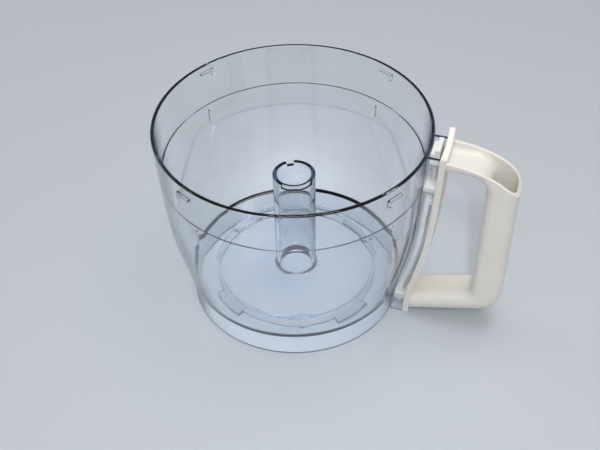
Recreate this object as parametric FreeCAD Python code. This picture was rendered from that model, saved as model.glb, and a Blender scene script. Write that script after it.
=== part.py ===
# Work bowl of a food processor, with its D-shaped handle and sprung interlock rod.
# Millimetres. +Z up, origin on the bowl's axis in the plane it stands on, +X towards the handle.
import FreeCAD, Part
import math
import os

V = FreeCAD.Vector

# ---- bowl: driving dimensions ----
RIM_RADIUS = 94.0            # outside of the rim
BOWL_HEIGHT = 146.0          # table to rim
WALL = 2.5                   # clear moulding's wall
BAND_DEPTH = 51.4            # rim down to the foot of the near-upright upper band
BAND_LEAN = 2.4              # how much the band narrows from the rim to its foot
BAND_STEP = 0.6              # the band stands this far proud of the taper below it
LEDGE_DEPTH = 31.6           # rim down to the lid's inside ledge
LEDGE_WIDTH = 0.9
SKIRT_HEIGHT = 19.6          # table to the line where the skirt meets the taper
SKIRT_RADIUS = 79.0          # taper's outside at that line
SKIRT_STEP = 0.6             # the skirt is this much smaller than the taper
SKIRT_LEAN = 0.9
TAPER_LOW_PULL = (3.5, 20.4)     # curve handle above the skirt: outwards, up
TAPER_HIGH_PULL = (0.4, 32.6)    # curve handle below the band: inwards, down
FLOOR_THICKNESS = 3.0
FLOOR_RISE = 0.6             # floor's top above the skirt's line
FLOOR_CORNER = 3.5
RIM_ROUND = 0.8

# ---- centre tube ----
TUBE_RADIUS = 15.0
TUBE_BORE = 12.2
TUBE_TOP = 100.5
TUBE_ROOT = 2.5
NOTCH_DEPTH = 3.0
NOTCH_ANGLES = (109.0, 131.6)    # full-depth notch, degrees from the handle
LIP_ANGLES = (-108.0, -14.6)     # thinned front of the edge
LIP_CUT = 1.4

# ---- rim lugs, locating ribs and the bayonet under the floor ----
LUG_ANGLES = (59.0, 146.5, 239.0, 326.5)
LUG_DROP = 6.4
LUG_LENGTH = 7.0                 # degrees
LUG_PROUD = 1.5
LUG_THICK = 1.6
LUG_HOOK = 3.6
RIB_OFFSET = 6.5                 # degrees from the lug above it
RIB_HEIGHT = 9.0
RIB_WIDTH = 1.2
RIB_PROUD = 0.8
RING_RADIUS = 60.0
RING_WALL = 2.2
RING_DROP = 8.0
BAYONET_COUNT = 4
BAYONET_FIRST = 45.0
BAYONET_LENGTH = 24.0            # degrees
BAYONET_PROUD = 5.0
BAYONET_THICK = 3.0

# ---- channel on the handle side, and its cover ----
CHANNEL_HALF = 13.0              # half the width over the two clear side ribs
CHANNEL_RIB = 2.2
CHANNEL_DEPTH = 7.6              # wall's outside to the cover
CHANNEL_FOOT = 0.8
COVER_THICKNESS = 4.2
COVER_FOOT = 0.8
TAB_HIGH = 10.5                  # sloping tab above the rim at its high end
TAB_LOW = 0.8                    # and at its low end
TAB_PROUD = 1.0                  # curved tab beyond the cover's outside, at its middle
TAB_THICKNESS = 4.2
TAB_ROOT = 1.0                   # tab's foot below the rim
TAB_ROUND = 2.0
TAB_EDGE_ROUND = 0.8
BOND_GAP = 0.1                   # adhesive line between curved faces of fixed pieces

# ---- handle ----
HANDLE_HALF = 13.5
HANDLE_REACH = 59.5              # rim's outside to the grip's outside
GRIP_THICKNESS = 21.0
TOP_EDGE_DROP = 1.5              # rim down to the trough's edge beside the cover
TOP_BAR_DEPTH = 8.5
TIP_DROP = 23.0                  # rim down to the pointed end of the trough
TIP_PULL = (0.86, 0.42)          # pull of the trough's edge before its tip: shares of its span and fall
ROOT_PULL = (0.52, 0.02)         # and beside the cover
BAR_BOTTOM = 0.8                 # lower bar above the table, beside the cover
BAR_THICKNESS = 16.4
BAR_RISE = 0.30                  # slope of the lower bar
CORNER_OUTER = 19.0
CORNER_TOP = 12.0
CORNER_LOW = 7.0
EDGE_ROUND = 6.5                 # long edges round the finger opening
OUTER_ROUND = 9.5                # long edges of the grip's outside and the lower bar's underside
SHELL_WALL = 2.4
GRIP_HOLLOW = 42.0               # hollow of the grip below the trough's pointed end
TONGUE_HALF = 6.0                # tongue of the top bar that hooks into the cover
TONGUE_DEPTH = 2.6
TONGUE_THICKNESS = 1.9

# ---- fixing screws of the handle ----
SCREW_RADIUS = 1.5
SCREW_LENGTH = 14.0
SCREW_HEAD_RADIUS = 2.9
SCREW_HEAD = 1.8
SCREW_GAP = 0.1
SCREW_RECESS = 0.2
SCREW_HOLE_SPARE = 0.5           # hole deeper than the screw's point
HEAD_HOLE_OPEN = 1.0             # the head's recess is cut from this far inside the channel
LOW_SCREW_HEIGHT = 9.5
LOW_SCREW_SPREAD = 6.0

# ---- interlock rod, guides and return spring ----
ROD_TRAVEL = 6.0
BLADE_HALF = 8.0
BLADE_GAP = 1.9                  # bowl's wall to the blade
BLADE_COVER_GAP = 2.5            # blade to the cover; it comes nearer as the rod goes down
BLADE_TOP_DROP = 37.0
BLADE_FOOT = 40.0                # where the blade leaves the wall's curve
FOOT_SPARE = 1.5                 # foot above the table when the rod is pressed
FOOT_TOP = 24.0
FOOT_GAP = 1.2                   # bowl's wall to the upright foot, at its top
HEAD_HEIGHT = 11.0
HEAD_RISE = 3.5                  # head above the rim
HEAD_GAP = 0.6                   # rim to the head
HEAD_COVER_GAP = 1.0             # head to the cover
HEAD_HALF = 7.5
HEAD_SOCKET = 5.0
HEAD_SETBACK = 2.8               # step on the bowl's side of its top
HEAD_STEP = 4.0
HEAD_ROUND = 1.0
GUIDE_TOP_DROP = 25.0
GUIDE_HEIGHT = 3.0
LOW_GUIDE_BASE = 12.0
LOW_GUIDE_HEIGHT = 5.0
SLIDE_GAP = 0.3
STEM_GAP = 0.08
GUIDE_SEAT = 0.1
CLIP_WIDTH = 0.7
CLIP_THICKNESS = 0.8
CLIP_GAP = 0.3
CLIP_MOUTH = 0.7                 # half width of its mouth, as a share of the stem's radius
SPRING_WIRE = 0.6
SPRING_GAP = 0.5                 # spring to the wall and to the cover
SPRING_STEM_GAP = 0.3
SPRING_TURNS = 7.0
SPRING_SEAT = 0.05

# ---- how the shapes are cut and picked ----
CUT_SPARE = 1.0                  # a cutting shape runs this far past the face it opens
SAME = 0.02                      # places nearer than this are the same
SHORTEST_ROUNDED = 1.0           # shorter edges stay sharp
WALL_STEPS = 12                  # spans of a curve that follows the wall
HALVINGS = 40

# ---- heights and radii worked out from the above ----
BAND_FOOT = BOWL_HEIGHT - BAND_DEPTH
LEDGE_Z = BOWL_HEIGHT - LEDGE_DEPTH
FLOOR_TOP = SKIRT_HEIGHT + FLOOR_RISE
FLOOR_BOTTOM = FLOOR_TOP - FLOOR_THICKNESS
BAND_FOOT_RADIUS = RIM_RADIUS - BAND_LEAN
TAPER_TOP_RADIUS = BAND_FOOT_RADIUS - BAND_STEP
GUIDE_TOP = BOWL_HEIGHT - GUIDE_TOP_DROP
HEAD_TOP = BOWL_HEIGHT + HEAD_RISE
HEAD_BASE = HEAD_TOP - HEAD_HEIGHT
GRIP_OUTER = RIM_RADIUS + HANDLE_REACH
GRIP_INNER = GRIP_OUTER - GRIP_THICKNESS
BLADE_THICKNESS = CHANNEL_DEPTH - BLADE_GAP - BLADE_COVER_GAP
FOOT_HEIGHT = FOOT_SPARE + ROD_TRAVEL


def p(x, z):
    return V(x, 0, z)


def taper_poles(inset):
    """Poles of the taper's cubic curve, moved in towards the axis by inset."""
    low = p(SKIRT_RADIUS - inset, SKIRT_HEIGHT)
    high = p(TAPER_TOP_RADIUS - inset, BAND_FOOT)
    low_pull = p(low.x + TAPER_LOW_PULL[0], low.z + TAPER_LOW_PULL[1])
    high_pull = p(high.x - TAPER_HIGH_PULL[0], high.z - TAPER_HIGH_PULL[1])
    return [low, low_pull, high_pull, high]


def taper_curve(inset):
    curve = Part.BezierCurve()
    curve.setPoles(taper_poles(inset))
    return curve


def taper_point(height):
    """Point of the taper's outside at a height, found by halving the curve."""
    curve = taper_curve(0.0)
    low, high = 0.0, 1.0
    for halving in range(HALVINGS):
        middle = (low + high) / 2
        if curve.value(middle).z < height:
            low = middle
        else:
            high = middle
    return curve.value(low)


def wall_radius(height):
    """Outside radius of the bowl, without its two small steps, at a height."""
    if height <= SKIRT_HEIGHT:
        return SKIRT_RADIUS - SKIRT_LEAN * (1 - height / SKIRT_HEIGHT)
    if height < BAND_FOOT:
        return taper_point(height).x
    return RIM_RADIUS - BAND_LEAN * (BOWL_HEIGHT - height) / BAND_DEPTH


# the spring fills the channel's clear width beside it, and the stem fits the spring
SPRING_IN = wall_radius(HEAD_BASE) + SPRING_GAP
SPRING_OUT = wall_radius(GUIDE_TOP) + CHANNEL_DEPTH - SPRING_GAP
ROD_X = (SPRING_IN + SPRING_OUT) / 2
SPRING_RADIUS = (SPRING_OUT - SPRING_IN - SPRING_WIRE) / 2
STEM_RADIUS = SPRING_RADIUS - SPRING_WIRE / 2 - SPRING_STEM_GAP
CLIP_RADIUS = STEM_RADIUS + CLIP_WIDTH


def follow_wall(offset, bottom, top):
    """Curve in the XZ plane that keeps one distance outside the bowl's wall."""
    heights = [bottom + (top - bottom) * i / WALL_STEPS for i in range(WALL_STEPS + 1)]
    curve = Part.BSplineCurve()
    curve.interpolate([p(wall_radius(z) + offset, z) for z in heights])
    return curve.toShape()


def line(a, b):
    return Part.LineSegment(a, b).toShape()


def polyline(points):
    return [line(a, b) for a, b in zip(points, points[1:])]


def face_of(edges):
    return Part.Face(Part.Wire(edges))


def slab(edges, half):
    """Outline in the XZ plane made a plate of width 2 * half about that plane."""
    plate = face_of(edges).extrude(V(0, 2 * half, 0))
    plate.translate(V(0, -half, 0))
    return plate


def ring_sector(inner, outer, bottom, height, start, stop):
    """Part of a ring between two angles about the bowl's axis."""
    points = [p(inner, bottom), p(outer, bottom), p(outer, bottom + height), p(inner, bottom + height)]
    sector = face_of(polyline(points + points[:1])).revolve(V(0, 0, 0), V(0, 0, 1), stop - start)
    sector.rotate(V(0, 0, 0), V(0, 0, 1), start)
    return sector


def long_edges(shape, test):
    return [edge for edge in shape.Edges if test(edge)]


def in_side_plane(edge, half):
    return (all(abs(abs(vertex.Y) - half) < SAME for vertex in edge.Vertexes)
            and abs(abs(edge.CenterOfMass.y) - half) < SAME)


# ---- work bowl ----
def bowl_section():
    """Half section of the bowl, floor and centre tube, without rounding."""
    skirt_top = SKIRT_RADIUS - SKIRT_STEP
    skirt_foot = skirt_top - SKIRT_LEAN
    inside_at_ledge = wall_radius(LEDGE_Z) - WALL
    taper_in = taper_curve(WALL)
    floor_cut = taper_in.intersect(Part.Line(p(0, FLOOR_TOP), p(1, FLOOR_TOP)))[0]
    floor_edge = p(floor_cut.X, FLOOR_TOP)
    inner_taper = taper_in.copy()
    inner_taper.segment(taper_in.parameter(floor_edge), 1.0)
    outer = polyline([p(skirt_foot, 0), p(skirt_top, SKIRT_HEIGHT), p(SKIRT_RADIUS, SKIRT_HEIGHT)])
    outer.append(taper_curve(0.0).toShape())
    outer += polyline([p(TAPER_TOP_RADIUS, BAND_FOOT), p(BAND_FOOT_RADIUS, BAND_FOOT + BAND_STEP),
                       p(RIM_RADIUS, BOWL_HEIGHT), p(RIM_RADIUS - WALL, BOWL_HEIGHT),
                       p(inside_at_ledge, LEDGE_Z), p(inside_at_ledge - LEDGE_WIDTH, LEDGE_Z),
                       p(TAPER_TOP_RADIUS - WALL, BAND_FOOT)])
    inner = [inner_taper.toShape()]
    inner += polyline([floor_edge, p(TUBE_RADIUS, FLOOR_TOP), p(TUBE_RADIUS, TUBE_TOP),
                       p(TUBE_BORE, TUBE_TOP), p(TUBE_BORE, FLOOR_BOTTOM),
                       p(skirt_top - WALL, FLOOR_BOTTOM), p(skirt_foot - WALL, 0), p(skirt_foot, 0)])
    return outer + inner


def circle_at(edge, radius, height):
    return (isinstance(edge.Curve, Part.Circle) and abs(edge.Curve.Radius - radius) < SAME
            and abs(edge.Curve.Center.z - height) < SAME)


def bowl_body():
    body = face_of(bowl_section()).revolve(V(0, 0, 0), V(0, 0, 1), 360)
    rims = long_edges(body, lambda e: circle_at(e, RIM_RADIUS, BOWL_HEIGHT)
                      or circle_at(e, RIM_RADIUS - WALL, BOWL_HEIGHT))
    body = body.makeFillet(RIM_ROUND, rims)
    floor_radius = max(e.Curve.Radius for e in body.Edges if isinstance(e.Curve, Part.Circle)
                       and abs(e.Curve.Center.z - FLOOR_TOP) < SAME)
    corner = long_edges(body, lambda e: circle_at(e, floor_radius, FLOOR_TOP))
    body = body.makeFillet(FLOOR_CORNER, corner)
    root = long_edges(body, lambda e: circle_at(e, TUBE_RADIUS, FLOOR_TOP))
    return body.makeFillet(TUBE_ROOT, root)


def tube_cuts():
    """Notch through the tube's top edge, and the thinner lip at its front."""
    outer = TUBE_RADIUS + CUT_SPARE
    bottom = TUBE_TOP - NOTCH_DEPTH
    height = NOTCH_DEPTH + CUT_SPARE
    notch = ring_sector(TUBE_BORE - CUT_SPARE, outer, bottom, height, *NOTCH_ANGLES)
    lip = ring_sector(TUBE_RADIUS - LIP_CUT, outer, bottom, height, *LIP_ANGLES)
    return [notch, lip]


def rim_lug(angle):
    """L-shaped lug on the outside of the rim that the lid's lip turns under."""
    height = BOWL_HEIGHT - LUG_DROP - LUG_THICK
    inner = wall_radius(height) - WALL / 2
    outer = RIM_RADIUS + LUG_PROUD
    bar = ring_sector(inner, outer, height, LUG_THICK, angle, angle + LUG_LENGTH)
    hook_angle = math.degrees(LUG_THICK / RIM_RADIUS)
    hook = ring_sector(inner, outer, height - LUG_HOOK, LUG_HOOK + LUG_THICK, angle, angle + hook_angle)
    return bar.fuse(hook)


def locating_rib(angle):
    """Short upright rib inside the band, under a lug."""
    half = math.degrees(RIB_WIDTH / 2 / RIM_RADIUS)
    top = LEDGE_Z - RIB_HEIGHT
    outer = wall_radius(top) - WALL / 2
    inner = wall_radius(top) - WALL - LEDGE_WIDTH - RIB_PROUD
    centre = angle + RIB_OFFSET
    return ring_sector(inner, outer, top - RIB_HEIGHT / 2, RIB_HEIGHT, centre - half, centre + half)


def floor_ring():
    return ring_sector(RING_RADIUS - RING_WALL, RING_RADIUS, FLOOR_BOTTOM - RING_DROP,
                       RING_DROP + FLOOR_THICKNESS / 2, 0, 360)


def bayonet_ramps():
    pitch = 360 / BAYONET_COUNT
    ramps = []
    for i in range(BAYONET_COUNT):
        start = BAYONET_FIRST + i * pitch
        ramps.append(ring_sector(RING_RADIUS - RING_WALL / 2, RING_RADIUS + BAYONET_PROUD,
                                 FLOOR_BOTTOM - RING_DROP, BAYONET_THICK, start, start + BAYONET_LENGTH))
    return ramps


def channel_ribs():
    """Two clear ribs, at the sides of the rod, from the wall out to the cover."""
    inner = follow_wall(-WALL, CHANNEL_FOOT, BOWL_HEIGHT)
    outer = follow_wall(CHANNEL_DEPTH, CHANNEL_FOOT, BOWL_HEIGHT)
    ends = [line(inner.Vertexes[0].Point, outer.Vertexes[0].Point),
            line(inner.Vertexes[-1].Point, outer.Vertexes[-1].Point)]
    plate = slab([inner, ends[0], outer, ends[1]], CHANNEL_HALF)
    gap = slab([inner, ends[0], outer, ends[1]], CHANNEL_HALF - CHANNEL_RIB)
    ribs = plate.cut(gap)
    hollow = face_of(inside_section()).revolve(V(0, 0, 0), V(0, 0, 1), 360)
    return ribs.cut(hollow)


def inside_section():
    """Half section of everything within the middle of the wall, to trim the ribs."""
    middle = WALL / 2
    skirt = SKIRT_RADIUS - SKIRT_STEP - middle
    below = -CUT_SPARE
    above = BOWL_HEIGHT + CUT_SPARE
    edges = polyline([p(0, below), p(skirt - SKIRT_LEAN, below), p(skirt, SKIRT_HEIGHT),
                      p(SKIRT_RADIUS - middle, SKIRT_HEIGHT)])
    edges.append(taper_curve(middle).toShape())
    edges += polyline([p(TAPER_TOP_RADIUS - middle, BAND_FOOT), p(RIM_RADIUS - middle, above),
                       p(0, above), p(0, below)])
    return edges


def work_bowl():
    bowl = bowl_body()
    for cutter in tube_cuts():
        bowl = bowl.cut(cutter)
    additions = [floor_ring(), channel_ribs()] + bayonet_ramps()
    for angle in LUG_ANGLES:
        additions.append(rim_lug(angle))
        additions.append(locating_rib(angle))
    for piece in additions:
        bowl = bowl.fuse(piece)
    return bowl.removeSplitter()


# ---- channel cover with its tab ----
def cover_outline(inner_offset, outer_offset):
    """Cover's outline: it follows the wall from its foot up to the rim."""
    inner = follow_wall(inner_offset, COVER_FOOT, BOWL_HEIGHT)
    outer = follow_wall(outer_offset, COVER_FOOT, BOWL_HEIGHT)
    return [inner, line(inner.Vertexes[0].Point, outer.Vertexes[0].Point), outer,
            line(outer.Vertexes[-1].Point, inner.Vertexes[-1].Point)]


def tab():
    """Curved cam on top of the cover, low at one end, that guides the lid's lug onto the rod."""
    outer = RIM_RADIUS + CHANNEL_DEPTH + COVER_THICKNESS + TAB_PROUD
    inner = outer - TAB_THICKNESS
    half_angle = math.degrees(math.asin(CHANNEL_HALF / outer))
    bottom = BOWL_HEIGHT - TAB_ROOT
    sector = ring_sector(inner, outer, bottom, TAB_ROOT + TAB_HIGH, -half_angle, half_angle)
    low = BOWL_HEIGHT + TAB_LOW
    high = BOWL_HEIGHT + TAB_HIGH
    edges = polyline([V(0, -CHANNEL_HALF, low), V(0, CHANNEL_HALF, high), V(0, CHANNEL_HALF, high + TAB_HIGH),
                      V(0, -CHANNEL_HALF, high + TAB_HIGH), V(0, -CHANNEL_HALF, low)])
    above = face_of(edges).extrude(V(outer + CUT_SPARE, 0, 0))
    shape = sector.cut(above)
    middle = (low + high) / 2
    end = long_edges(shape, lambda e: e.CenterOfMass.z > middle and e.Length < TAB_THICKNESS + CUT_SPARE)
    shape = shape.makeFillet(TAB_ROUND, end)
    rims = long_edges(shape, lambda e: e.CenterOfMass.z > low and e.Length > CHANNEL_HALF
                      and e.BoundBox.ZMin > BOWL_HEIGHT)
    return shape.makeFillet(TAB_EDGE_ROUND, rims)


def tongue(gap):
    """The top bar's tongue, or the pocket for it in the cover."""
    base = BOWL_HEIGHT - TOP_EDGE_DROP - TOP_BAR_DEPTH + (SHELL_WALL - TONGUE_THICKNESS) / 2
    face = wall_radius(base) + CHANNEL_DEPTH + COVER_THICKNESS
    return Part.makeBox(TONGUE_DEPTH + SHELL_WALL + gap, 2 * (TONGUE_HALF + gap), TONGUE_THICKNESS + 2 * gap,
                        V(face - TONGUE_DEPTH - gap, -TONGUE_HALF - gap, base - gap))


def screw_axes():
    """Foot, direction and place of each handle screw: x of the cover's inside, y, z."""
    low_x = wall_radius(LOW_SCREW_HEIGHT) + CHANNEL_DEPTH
    return [V(low_x, LOW_SCREW_SPREAD, LOW_SCREW_HEIGHT), V(low_x, -LOW_SCREW_SPREAD, LOW_SCREW_HEIGHT)]


def screw(foot, gap=0.0, before=0.0, beyond=0.0):
    """Flat-headed screw along +X with its head set below the cover's inside, or the hole for it."""
    start = foot + V(SCREW_RECESS + BOND_GAP - before, 0, 0)
    head = Part.makeCylinder(SCREW_HEAD_RADIUS + gap, SCREW_HEAD + before, start, V(1, 0, 0))
    shank = Part.makeCylinder(SCREW_RADIUS + gap, SCREW_LENGTH + before + beyond, start, V(1, 0, 0))
    return head.fuse(shank).removeSplitter()


def screw_hole(foot):
    return screw(foot, SCREW_GAP, HEAD_HOLE_OPEN, SCREW_HOLE_SPARE)


def channel_cover():
    cover = slab(cover_outline(CHANNEL_DEPTH + BOND_GAP, CHANNEL_DEPTH + COVER_THICKNESS), CHANNEL_HALF)
    cover = cover.fuse(tab()).removeSplitter().cut(tongue(BOND_GAP))
    for foot in screw_axes():
        cover = cover.cut(screw_hole(foot))
    return cover


# ---- handle ----
def trough_edge(drop):
    """Curve of the trough's edge from beside the cover to its pointed end, moved down by drop."""
    root_x = RIM_RADIUS + CHANNEL_DEPTH
    span = GRIP_OUTER - root_x
    root = p(root_x, BOWL_HEIGHT - TOP_EDGE_DROP - drop)
    fall = TIP_DROP - TOP_EDGE_DROP
    curve = Part.BezierCurve()
    tip = p(GRIP_OUTER, BOWL_HEIGHT - TIP_DROP - drop)
    root_pull = p(root_x + span * ROOT_PULL[0], root.z - fall * ROOT_PULL[1])
    tip_pull = p(root_x + span * TIP_PULL[0], root.z - fall * TIP_PULL[1])
    curve.setPoles([root, root_pull, tip_pull, tip])
    return curve.toShape()


def handle_outline():
    """Outer side outline of the handle, from the trough's edge round to the lower bar."""
    edge = trough_edge(0.0)
    root_x = SKIRT_RADIUS
    foot_x = wall_radius(0) + CHANNEL_DEPTH + COVER_THICKNESS
    slope = math.atan(BAR_RISE)
    bottom_at_corner = BAR_BOTTOM + (GRIP_OUTER - foot_x) * BAR_RISE
    turn = math.pi / 2 - slope
    leg = CORNER_OUTER * math.tan(turn / 2)
    upright_end = p(GRIP_OUTER, bottom_at_corner + leg)
    bar_end = p(GRIP_OUTER - leg * math.cos(slope), bottom_at_corner - leg * math.sin(slope))
    centre = p(GRIP_OUTER - CORNER_OUTER, upright_end.z)
    half_turn = turn / 2
    middle = centre + V(math.cos(half_turn), 0, -math.sin(half_turn)) * CORNER_OUTER
    corner = Part.Arc(upright_end, middle, bar_end).toShape()
    bar_root = p(root_x, BAR_BOTTOM - (foot_x - root_x) * BAR_RISE)
    edges = [edge, line(edge.Vertexes[-1].Point, upright_end), corner, line(bar_end, bar_root)]
    edges += polyline([bar_root, p(root_x, edge.Vertexes[0].Z), edge.Vertexes[0].Point])
    return edges


def rounded_corner(before, corner, after, radius):
    """Edges from before to after, with the corner between them rounded."""
    one = (before - corner).normalize()
    two = (after - corner).normalize()
    angle = one.getAngle(two)
    leg = radius / math.tan(angle / 2)
    start = corner + one * leg
    stop = corner + two * leg
    bisector = (one + two).normalize()
    middle = corner + bisector * (radius / math.sin(angle / 2) - radius)
    return start, Part.Arc(start, middle, stop).toShape(), stop


def opening_outline():
    """Finger opening, from inside the cover to the grip."""
    root_x = SKIRT_RADIUS
    foot_x = wall_radius(0) + CHANNEL_DEPTH + COVER_THICKNESS
    top = BOWL_HEIGHT - TOP_EDGE_DROP - TOP_BAR_DEPTH
    bar_top = BAR_BOTTOM + BAR_THICKNESS / math.cos(math.atan(BAR_RISE))
    low_left = p(root_x, bar_top - (foot_x - root_x) * BAR_RISE)
    low_right = p(GRIP_INNER, bar_top + (GRIP_INNER - foot_x) * BAR_RISE)
    top_left = p(root_x, top)
    top_right = p(GRIP_INNER, top)
    a, low_arc, b = rounded_corner(low_left, low_right, top_right, CORNER_LOW)
    c, top_arc, d = rounded_corner(low_right, top_right, top_left, CORNER_TOP)
    return [line(low_left, a), low_arc, line(b, c), top_arc, line(d, top_left), line(top_left, low_left)]


def trough():
    """Inside of the top bar, open above, that runs on down into the hollow grip."""
    top = trough_edge(-CUT_SPARE)
    floor = BOWL_HEIGHT - TOP_EDGE_DROP - TOP_BAR_DEPTH + SHELL_WALL
    left = GRIP_INNER + SHELL_WALL
    root = p(top.Vertexes[0].X, floor)
    base = p(left, BOWL_HEIGHT - TIP_DROP - GRIP_HOLLOW)
    start, bend, stop = rounded_corner(root, p(left, floor), base, CORNER_TOP + SHELL_WALL)
    edges = [top] + polyline([top.Vertexes[-1].Point, p(GRIP_OUTER, base.z), base, stop])
    edges += [bend, line(start, root), line(root, top.Vertexes[0].Point)]
    outer_x = GRIP_OUTER - SHELL_WALL
    outer_wall = Part.makeBox(SHELL_WALL + CUT_SPARE, 2 * HANDLE_HALF, BOWL_HEIGHT, V(outer_x, -HANDLE_HALF, 0))
    half = HANDLE_HALF - SHELL_WALL
    inside = slab(edges, half).cut(outer_wall)
    sides = long_edges(inside, lambda e: in_side_plane(e, half) and e.Length > SHORTEST_ROUNDED)
    inside = inside.makeFillet(OUTER_ROUND - SHELL_WALL, [e for e in sides if e.BoundBox.XMin > outer_x - SAME])
    sides = long_edges(inside, lambda e: in_side_plane(e, half) and e.Length > SHORTEST_ROUNDED)
    lower = [e for e in sides if e.BoundBox.ZMax < floor + SAME and e.BoundBox.ZMin > base.z + SAME]
    return inside.makeFillet(EDGE_ROUND - SHELL_WALL, lower)


def behind_cover():
    """Everything on the bowl's side of the cover's outside, to trim the handle's two roots."""
    offset = CHANNEL_DEPTH + COVER_THICKNESS + BOND_GAP
    outer = follow_wall(offset, COVER_FOOT - 2 * CUT_SPARE, BOWL_HEIGHT + 2 * CUT_SPARE)
    foot = outer.Vertexes[0].Point
    head = outer.Vertexes[-1].Point
    edges = [outer] + polyline([head, p(0, head.z), p(0, -BOWL_HEIGHT), p(foot.x, -BOWL_HEIGHT), foot])
    return slab(edges, HANDLE_HALF + CUT_SPARE)


def side_edges(handle):
    """Long edges in the handle's two side planes, without those of the trough and of the buried root."""
    return long_edges(handle, lambda e: in_side_plane(e, HANDLE_HALF)
                      and e.CenterOfMass.x > SKIRT_RADIUS + SAME
                      and e.BoundBox.ZMax < BOWL_HEIGHT - TOP_EDGE_DROP - SAME
                      and e.Length > SHORTEST_ROUNDED)


def is_outside(edge):
    """True for the grip's outside, the lower corner and the lower bar's underside."""
    centre = edge.CenterOfMass
    bar_middle = BAR_BOTTOM + BAR_THICKNESS / 4 + (centre.x - SKIRT_RADIUS) * BAR_RISE
    return centre.x > GRIP_OUTER - CORNER_OUTER or centre.z < bar_middle


def handle_shell():
    handle = slab(handle_outline(), HANDLE_HALF).cut(slab(opening_outline(), 2 * HANDLE_HALF))
    handle = handle.makeFillet(OUTER_ROUND, [edge for edge in side_edges(handle) if is_outside(edge)])
    handle = handle.makeFillet(EDGE_ROUND, [edge for edge in side_edges(handle) if not is_outside(edge)])
    handle = handle.cut(trough()).cut(behind_cover()).fuse(tongue(0.0))
    for foot in screw_axes():
        handle = handle.cut(screw_hole(foot))
    return handle


def handle_screws():
    return Part.makeCompound([screw(foot) for foot in screw_axes()])


# ---- interlock rod ----
def foot_inside():
    """Inner face of the rod's upright foot."""
    return wall_radius(FOOT_TOP) + FOOT_GAP


def push_rod():
    """Flat blade that follows the wall, an upright foot below and a round stem above."""
    blade_top = BOWL_HEIGHT - BLADE_TOP_DROP
    foot_in = foot_inside()
    foot_out = foot_in + BLADE_THICKNESS
    inner = follow_wall(BLADE_GAP, BLADE_FOOT, blade_top)
    outer = follow_wall(BLADE_GAP + BLADE_THICKNESS, BLADE_FOOT, blade_top)
    edges = [inner, line(inner.Vertexes[-1].Point, outer.Vertexes[-1].Point), outer]
    edges += polyline([outer.Vertexes[0].Point, p(foot_out, FOOT_TOP), p(foot_out, FOOT_HEIGHT),
                       p(foot_in, FOOT_HEIGHT), p(foot_in, FOOT_TOP), inner.Vertexes[0].Point])
    blade = slab(edges, BLADE_HALF)
    block_height = STEM_RADIUS * 2
    block_x = wall_radius(blade_top) + BLADE_GAP
    block = Part.makeBox(ROD_X + STEM_RADIUS - block_x, BLADE_HALF * 2, block_height,
                         V(block_x, -BLADE_HALF, blade_top - block_height))
    stem = Part.makeCylinder(STEM_RADIUS, HEAD_BASE + HEAD_SOCKET - blade_top + block_height,
                             V(ROD_X, 0, blade_top - block_height))
    return blade.fuse(block).fuse(stem).removeSplitter()


def actuator_head():
    """Stepped block on top of the rod that the lid's cam presses, pressed onto the stem."""
    inner = RIM_RADIUS + HEAD_GAP
    outer = RIM_RADIUS + CHANNEL_DEPTH - HEAD_COVER_GAP
    head = Part.makeBox(outer - inner, 2 * HEAD_HALF, HEAD_HEIGHT, V(inner, -HEAD_HALF, HEAD_BASE))
    tops = long_edges(head, lambda e: abs(e.CenterOfMass.z - HEAD_TOP) < SAME)
    head = head.makeFillet(HEAD_ROUND, tops)
    step = Part.makeBox(HEAD_SETBACK, 2 * HEAD_HALF, HEAD_STEP, V(inner, -HEAD_HALF, HEAD_TOP - HEAD_STEP))
    head = head.cut(step)
    socket = Part.makeCylinder(STEM_RADIUS, HEAD_SOCKET, V(ROD_X, 0, HEAD_BASE))
    return head.cut(socket)


def channel_block(bottom, height):
    """Block that fills the channel between its ribs, from the wall to the cover."""
    inner = follow_wall(0.0, bottom, bottom + height)
    outer = follow_wall(CHANNEL_DEPTH - GUIDE_SEAT, bottom, bottom + height)
    edges = [inner, line(inner.Vertexes[-1].Point, outer.Vertexes[-1].Point), outer,
             line(outer.Vertexes[0].Point, inner.Vertexes[0].Point)]
    block = slab(edges, CHANNEL_HALF - CHANNEL_RIB - GUIDE_SEAT)
    radius = max(wall_radius(bottom), wall_radius(bottom + height)) + GUIDE_SEAT
    return block.cut(Part.makeCylinder(radius, height + 2 * CUT_SPARE, V(0, 0, bottom - CUT_SPARE)))


def upper_guide():
    block = channel_block(GUIDE_TOP - GUIDE_HEIGHT, GUIDE_HEIGHT)
    hole = Part.makeCylinder(STEM_RADIUS + STEM_GAP, GUIDE_HEIGHT + 2 * CUT_SPARE,
                             V(ROD_X, 0, GUIDE_TOP - GUIDE_HEIGHT - CUT_SPARE))
    return block.cut(hole)


def lower_guide():
    block = channel_block(LOW_GUIDE_BASE, LOW_GUIDE_HEIGHT)
    slot = Part.makeBox(BLADE_THICKNESS + 2 * SLIDE_GAP, 2 * (BLADE_HALF + SLIDE_GAP),
                        LOW_GUIDE_HEIGHT + 2 * CUT_SPARE,
                        V(foot_inside() - SLIDE_GAP, -BLADE_HALF - SLIDE_GAP, LOW_GUIDE_BASE - CUT_SPARE))
    return block.cut(slot)


def retaining_clip():
    """Split clip on the stem, under the upper guide, that stops the rod coming out."""
    base = GUIDE_TOP - GUIDE_HEIGHT - CLIP_GAP - CLIP_THICKNESS
    disc = Part.makeCylinder(CLIP_RADIUS, CLIP_THICKNESS, V(ROD_X, 0, base))
    bore = Part.makeCylinder(STEM_RADIUS, CLIP_THICKNESS, V(ROD_X, 0, base))
    half = STEM_RADIUS * CLIP_MOUTH
    mouth = Part.makeBox(CLIP_RADIUS + CUT_SPARE, 2 * half, CLIP_THICKNESS, V(ROD_X, -half, base))
    return disc.cut(bore).cut(mouth)


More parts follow.
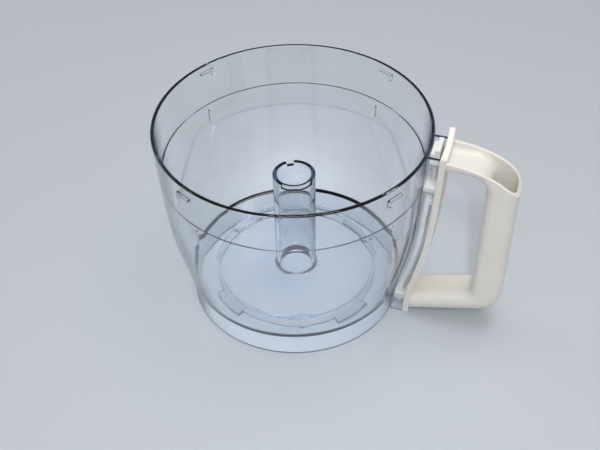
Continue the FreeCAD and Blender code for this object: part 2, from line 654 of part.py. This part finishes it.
def return_spring():
    """Compression spring round the stem, from the upper guide to the head."""
    bottom = GUIDE_TOP + SPRING_SEAT + SPRING_WIRE / 2
    length = HEAD_BASE - SPRING_SEAT - SPRING_WIRE / 2 - bottom
    helix = Part.makeHelix(length / SPRING_TURNS, length, SPRING_RADIUS)
    section = Part.Wire([Part.makeCircle(SPRING_WIRE / 2, V(SPRING_RADIUS, 0, 0), V(0, 1, 0))])
    coil = Part.Wire(helix.Edges).makePipeShell([section], True, True)
    coil.translate(V(ROD_X, 0, bottom))
    return coil


NODES = {
    "work_bowl": work_bowl,
    "channel_cover": channel_cover,
    "handle_shell": handle_shell,
    "handle_screws": handle_screws,
    "push_rod": push_rod,
    "actuator_head": actuator_head,
    "upper_guide": upper_guide,
    "lower_guide": lower_guide,
    "retaining_clip": retaining_clip,
    "return_spring": return_spring,
}

os.makedirs("parts", exist_ok=True)
for name, make in NODES.items():
    shape = make()
    print(name, shape.ShapeType, len(shape.Solids), "valid", shape.isValid(), "volume", round(shape.Volume, 1))
    shape.exportStep("parts/" + name + ".step")
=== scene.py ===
# Clear work bowl of a food processor, with its white D-shaped handle and sprung interlock rod.
import math

import bmesh
import bpy
from mathutils import Matrix, Vector


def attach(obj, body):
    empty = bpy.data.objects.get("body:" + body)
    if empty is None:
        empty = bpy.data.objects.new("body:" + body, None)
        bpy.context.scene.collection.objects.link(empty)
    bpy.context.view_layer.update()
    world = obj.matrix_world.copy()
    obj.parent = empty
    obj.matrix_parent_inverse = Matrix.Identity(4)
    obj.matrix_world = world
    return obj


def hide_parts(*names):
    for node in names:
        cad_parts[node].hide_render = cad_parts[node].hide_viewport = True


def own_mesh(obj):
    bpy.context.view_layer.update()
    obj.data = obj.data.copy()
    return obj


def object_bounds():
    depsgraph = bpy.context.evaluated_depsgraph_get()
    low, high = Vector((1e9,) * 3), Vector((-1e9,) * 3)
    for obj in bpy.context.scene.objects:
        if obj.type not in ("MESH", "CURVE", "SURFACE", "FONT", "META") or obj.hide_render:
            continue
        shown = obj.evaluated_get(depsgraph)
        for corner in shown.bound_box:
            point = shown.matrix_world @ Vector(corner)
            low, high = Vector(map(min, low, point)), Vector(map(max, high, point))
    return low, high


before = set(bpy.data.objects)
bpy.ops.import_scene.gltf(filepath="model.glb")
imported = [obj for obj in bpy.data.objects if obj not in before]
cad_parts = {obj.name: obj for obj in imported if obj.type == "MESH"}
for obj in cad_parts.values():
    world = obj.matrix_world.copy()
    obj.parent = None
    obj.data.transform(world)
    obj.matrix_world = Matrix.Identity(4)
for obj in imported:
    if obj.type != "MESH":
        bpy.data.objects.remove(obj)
cad_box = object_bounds()


# ---- camera ----
# Stands in front and to the handle's side of the bowl, and looks down into it.
camera_place = Vector((0.16787, -0.47712, 0.52503))
camera_heading = math.radians(19.0)
camera_pitch = math.radians(43.111)
camera_roll = math.radians(-1.305)
camera_data = bpy.data.cameras.new("camera")
camera_data.lens = 57.0
camera_data.sensor_width = 36.0
camera = bpy.data.objects.new("camera", camera_data)
turned = Matrix.Rotation(camera_heading, 4, "Z") @ Matrix.Rotation(math.pi / 2 - camera_pitch, 4, "X")
camera.matrix_world = Matrix.Translation(camera_place) @ turned @ Matrix.Rotation(camera_roll, 4, "Z")
bpy.context.scene.collection.objects.link(camera)
bpy.context.scene.camera = camera
bpy.context.scene.view_settings.view_transform = "Standard"


# ---- floor, room and lamps ----
# A plain pale sheet under the bowl, a pale room, and soft lamps on the camera's side.
class Socket:
    """An output of a node, on which Python's operators add Math nodes."""

    def __init__(self, finish, output):
        self.finish = finish
        self.output = output

    def maths(self, operation, *values):
        return self.finish.add("ShaderNodeMath", {"operation": operation}, dict(enumerate(values)))

    def __add__(self, other):
        return self.maths("ADD", self, other)

    def __mul__(self, other):
        return self.maths("MULTIPLY", self, other)

    def __abs__(self):
        return self.maths("ABSOLUTE", self)

    __radd__ = __add__
    __rmul__ = __mul__


class Finish:
    """The nodes of a material or of the room, and the one way of adding to them."""

    def __init__(self, owner):
        self.owner = owner
        owner.use_nodes = True
        self.tree = owner.node_tree
        self.tree.nodes.clear()

    def add(self, kind, settings, inputs, output=0):
        node = self.tree.nodes.new(kind)
        for name, value in settings.items():
            setattr(node, name, value)
        for name, value in inputs.items():
            if isinstance(value, Socket):
                self.tree.links.new(value.output, node.inputs[name])
            else:
                node.inputs[name].default_value = value
        return Socket(self, node.outputs[output]) if node.outputs else None

    def place(self, scale=(1.0, 1.0, 1.0)):
        """Object coordinates, squeezed so that a pattern grows along the axis of a small scale."""
        where = self.add("ShaderNodeTexCoord", {}, {}, "Object")
        return self.add("ShaderNodeMapping", {}, {"Vector": where, "Scale": scale})

    def noise(self, where, scale, detail=2.0):
        return self.add("ShaderNodeTexNoise", {}, {"Vector": where, "Scale": scale, "Detail": detail})

    def ramp(self, value, low, high):
        """0 on low's side, 1 on high's side, and even between them."""
        limits = {"Value": value, "From Min": low, "From Max": high}
        return self.add("ShaderNodeMapRange", {"clamp": True}, limits)

    def blend(self, factor, first, second):
        """Mixes two colours."""
        return self.add("ShaderNodeMix", {"data_type": "RGBA"}, {0: factor, 6: first, 7: second}, 2)

    def bump(self, height, distance):
        return self.add("ShaderNodeBump", {}, {"Height": height, "Distance": distance, "Strength": 1.0})

    def surface(self, shader):
        self.add("ShaderNodeOutputMaterial", {}, {"Surface": shader})
        return self.owner


def seen(finish):
    """1 for the rays that show the background: from the camera, from gloss and through clear pieces."""
    seen_by = [finish.add("ShaderNodeLightPath", {}, {}, name)
               for name in ("Is Camera Ray", "Is Glossy Ray", "Is Transmission Ray")]
    return finish.ramp(seen_by[0] + seen_by[1] + seen_by[2], 0.0, 1.0)


floor_colour = (0.50, 0.535, 0.575, 1.0)
fibre_colour = (0.515, 0.55105, 0.59225, 1.0)
floor_half = 12.0
floor_finish = Finish(bpy.data.materials.new("pale_sheet"))
fibre = floor_finish.noise(floor_finish.place(), 900.0, 4.0)
floor_shader = floor_finish.add(
    "ShaderNodeBsdfPrincipled", {},
    {"Base Color": floor_finish.blend(fibre, floor_colour, fibre_colour),
     "Roughness": 0.7, "Specular IOR Level": 0.25})
floor_mesh = bmesh.new()
bmesh.ops.create_grid(floor_mesh, x_segments=1, y_segments=1, size=floor_half)
floor_data = bpy.data.meshes.new("floor")
floor_mesh.to_mesh(floor_data)
floor_mesh.free()
floor_data.materials.append(floor_finish.surface(floor_shader))
floor = bpy.data.objects.new("floor", floor_data)
bpy.context.scene.collection.objects.link(floor)

room_light = (0.42, 0.42, 0.42, 1.0)
horizon_colour = (0.62, 0.66, 0.71, 1.0)
overhead_colour = (0.16, 0.18, 0.21, 1.0)
room = Finish(bpy.data.worlds.new("room"))
bpy.context.scene.world = room.owner
up = room.add("ShaderNodeSeparateXYZ", {}, {0: room.add("ShaderNodeTexCoord", {}, {}, "Generated")}, 2)
overhead = room.ramp(up, 0.05, 0.75)
shown = room.blend(overhead, horizon_colour, overhead_colour)
background = room.add("ShaderNodeBackground", {}, {"Color": room.blend(seen(room), room_light, shown)})
room.add("ShaderNodeOutputWorld", {}, {"Surface": background})


def lamp(name, place, size, power, colour=(1.0, 1.0, 1.0)):
    """A square soft lamp that faces the middle of the bowl."""
    data = bpy.data.lights.new(name, "AREA")
    data.size = size
    data.energy = power
    data.color = colour
    holder = bpy.data.objects.new(name, data)
    middle = (cad_box[0] + cad_box[1]) / 2
    facing = (middle - Vector(place)).to_track_quat("-Z", "Y").to_matrix().to_4x4()
    holder.matrix_world = Matrix.Translation(place) @ facing
    bpy.context.scene.collection.objects.link(holder)


warm = (1.0, 0.965, 0.90)
cool = (0.93, 0.97, 1.0)
lamp("key_lamp", (0.26, -0.74, 1.08), 0.14, 2.8, warm)
lamp("glint_lamp", (0.27, -0.775, 0.83), 0.03, 2.4)
lamp("overhead_lamp", (0.25, 0.15, 1.5), 0.8, 8.6)
lamp("side_lamp", (-1.2, 0.3, 0.8), 0.7, 2.4, cool)


# ---- work bowl ----
# One clear polycarbonate moulding: walls, centre tube, floor, lugs and channel ribs in one shot.
def dress(name, material):
    """Gives a piece its material."""
    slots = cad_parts[name].data.materials
    slots.clear()
    slots.append(material)


clear = Finish(bpy.data.materials.new("clear_polycarbonate"))
where = clear.place()
handled = clear.ramp(clear.noise(where, 38.0, 3.0), 0.45, 0.75)
scratches = clear.ramp(clear.noise(clear.place((1.0, 1.0, 0.06)), 1400.0, 2.0), 0.66, 0.74)
ripple = clear.noise(clear.place((1.0, 1.0, 0.5)), 60.0, 1.0)
# The channel's ribs stand within this half width of the handle's middle, and are left a little matt.
channel_half = 0.0148
channel_start = 0.062
mask_edge = 0.0004
mask_start = 0.004
along, across = (clear.add("ShaderNodeSeparateXYZ", {}, {0: where}, axis) for axis in (0, 1))
matt = clear.ramp(abs(across), channel_half, channel_half - mask_edge)
matt = matt * clear.ramp(along, channel_start, channel_start + mask_start)
# Seen edge on, the wall's colour turns navy: painted shade along its silhouettes, added to the real
# absorption of the thick wall.
painted_edge_shade = clear.ramp(clear.add("ShaderNodeLayerWeight", {}, {"Blend": 0.5}, "Facing"), 0.70, 0.97)
painted_edge_shade_colour = (0.05, 0.09, 0.15, 1.0)
new_colour = (0.985, 0.99, 1.0, 1.0)
handled_colour = (0.965, 0.975, 0.985, 1.0)
# The glass's colour carries the painted edge shade, turning navy where the wall is seen edge on.
glass = clear.add(
    "ShaderNodeBsdfPrincipled", {},
    {"Base Color": clear.blend(painted_edge_shade, clear.blend(handled, new_colour, handled_colour), painted_edge_shade_colour),
     "Roughness": 0.012 + 0.02 * handled + 0.04 * scratches + 0.16 * matt,
     "Transmission Weight": 1.0, "IOR": 1.58,
     "Normal": clear.bump(ripple + 0.05 * scratches, 0.00006)})
lamp_ray = clear.add("ShaderNodeLightPath", {}, {}, "Is Shadow Ray")
open_to_lamps = clear.add("ShaderNodeBsdfTransparent", {}, {"Color": (0.93, 0.94, 0.95, 1.0)})
clear_shader = clear.add("ShaderNodeMixShader", {}, {0: lamp_ray, 1: glass, 2: open_to_lamps})
absorb = clear.add("ShaderNodeVolumeAbsorption", {}, {"Color": (0.50, 0.61, 0.72, 1.0), "Density": 48.0})
clear.add("ShaderNodeOutputMaterial", {}, {"Surface": clear_shader, "Volume": absorb})
dress("work_bowl", clear.owner)


# ---- channel cover, handle shell, rod and its head ----
# Injection-moulded off-white plastic with a satin skin, a little yellowed and scuffed by use.
def darkened(colour, shares):
    """A colour with its red, green and blue each cut to a share."""
    return tuple(part * share for part, share in zip(colour, shares)) + (1.0,)


def white_plastic(name, colour, worn):
    """Satin plastic, yellowed where worn is high."""
    yellowed = (0.97, 0.945, 0.89)
    scuffed = (0.82, 0.82, 0.82)
    finish = Finish(bpy.data.materials.new(name))
    where = finish.place()
    cloud = finish.ramp(finish.noise(where, 22.0, 3.0), 0.35, 0.7)
    skin = finish.noise(where, 2600.0, 2.0)
    scuffs = finish.ramp(finish.noise(finish.place((1.0, 0.25, 0.08)), 700.0, 3.0), 0.64, 0.72)
    aged = finish.blend(cloud * worn, colour, darkened(colour, yellowed))
    shade = finish.blend(scuffs * 0.25, aged, darkened(colour, scuffed))
    shader = finish.add(
        "ShaderNodeBsdfPrincipled", {},
        {"Base Color": shade, "Roughness": 0.34 + 0.08 * cloud + 0.12 * scuffs, "IOR": 1.5,
         "Normal": finish.bump(skin + 0.6 * scuffs, 0.00003)})
    return finish.surface(shader)


shell_plastic = white_plastic("white_plastic_shell", (0.80, 0.785, 0.75, 1.0), 1.0)
for name in ("handle_shell", "channel_cover"):
    dress(name, shell_plastic)
rod_plastic = white_plastic("white_plastic_rod", (0.80, 0.80, 0.78, 1.0), 0.5)
for name in ("push_rod", "actuator_head"):
    dress(name, rod_plastic)


# ---- guides ----
# Natural matte nylon blocks in which the rod slides.
guide_plastic = white_plastic("guide_nylon", (0.74, 0.74, 0.71, 1.0), 0.6)
for name in ("upper_guide", "lower_guide"):
    dress(name, guide_plastic)


# ---- screws, spring and clip ----
# Zinc-plated screws, and spring steel wire and clip with drawing lines.
def steel(name, colour, roughness):
    """Steel with fine lines along Z and dull stains."""
    stained = (0.8, 0.8, 0.8)
    finish = Finish(bpy.data.materials.new(name))
    lines = finish.noise(finish.place((1.0, 1.0, 0.1)), 3000.0, 2.0)
    stain = finish.ramp(finish.noise(finish.place(), 260.0, 3.0), 0.4, 0.7)
    shader = finish.add(
        "ShaderNodeBsdfPrincipled", {},
        {"Base Color": finish.blend(stain, colour, darkened(colour, stained)),
         "Metallic": 1.0, "Roughness": roughness + 0.15 * lines,
         "Normal": finish.bump(lines, 0.00002)})
    return finish.surface(shader)


dress("handle_screws", steel("zinc_plate", (0.62, 0.62, 0.60, 1.0), 0.28))
spring_steel = steel("spring_steel", (0.55, 0.56, 0.58, 1.0), 0.22)
dress("retaining_clip", spring_steel)

# The spring's foot stands still on its guide: its mesh is merged, smoothed and made to ride with the
# bowl.
coils = bmesh.new()
coils.from_mesh(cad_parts["return_spring"].data)
same_point = 1e-6
bmesh.ops.remove_doubles(coils, verts=coils.verts, dist=same_point)
for face in coils.faces:
    face.smooth = True
coil_data = bpy.data.meshes.new("coil_spring")
coils.to_mesh(coil_data)
coils.free()
coil_data.materials.append(spring_steel)
coil_spring = bpy.data.objects.new("coil_spring", coil_data)
bpy.context.scene.collection.objects.link(coil_spring)
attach(coil_spring, "bowl")
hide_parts("return_spring")
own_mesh(coil_spring)
